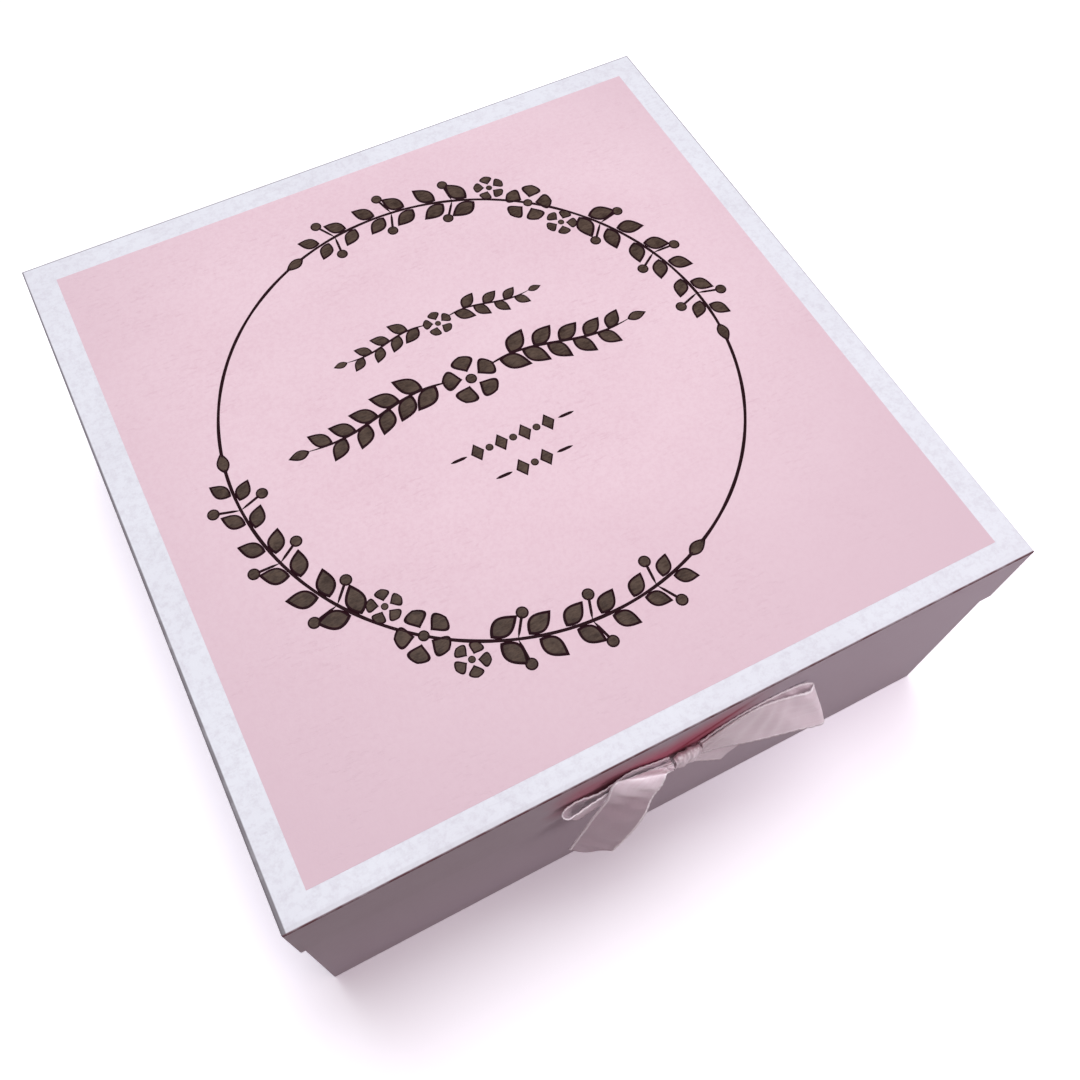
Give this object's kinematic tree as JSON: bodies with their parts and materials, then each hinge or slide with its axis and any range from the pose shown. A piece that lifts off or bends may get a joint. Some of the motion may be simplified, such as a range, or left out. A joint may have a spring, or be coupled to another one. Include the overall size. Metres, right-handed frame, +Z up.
{
  "type": "keepsake box",
  "caption": "Square white-painted wooden keepsake box with a deep back-hinged lid, a pink printed top and a satin ribbon bow in front.",
  "frame": {"origin": "on the table, under the middle of the lid's width and depth", "axes": "+X to the box's right seen from the front, +Y towards the hinges at the back, +Z up"},
  "size_m": [0.26, 0.2786, 0.1181],
  "materials": {
    "paint_white": "satin white paint on wooden board",
    "print_pink": "matt pink print on the painted board",
    "hinge_nickel": "nickel-plated steel, satin",
    "ribbon_satin": "satin ribbon"
  },
  "bodies": {
    "box_body": {"body_front": "paint_white", "body_back": "paint_white", "body_left": "paint_white", "body_right": "paint_white", "base_panel": "paint_white", "hinge_left_body_leaf": "hinge_nickel", "hinge_right_body_leaf": "hinge_nickel", "hinge_left_pin": "hinge_nickel", "hinge_right_pin": "hinge_nickel", "body_hinge_screws": "hinge_nickel"},
    "lid": {"lid_top": "paint_white", "lid_front": "paint_white", "lid_back": "paint_white", "lid_left": "paint_white", "lid_right": "paint_white", "print_field": "print_pink", "hinge_left_lid_leaf": "hinge_nickel", "hinge_right_lid_leaf": "hinge_nickel", "lid_hinge_screws": "hinge_nickel", "bow_knot": "ribbon_satin", "bow_loop_left": "ribbon_satin", "bow_loop_right": "ribbon_satin", "bow_tail_left": "ribbon_satin", "bow_tail_right": "ribbon_satin"}
  },
  "joints": [
    {"name": "lid_hinge", "type": "hinge", "parent": "box_body", "child": "lid", "pos_m": [0, 0.1325, 0.0828], "axis": [-1, 0, 0], "range_deg": [0, 180]}
  ]
}
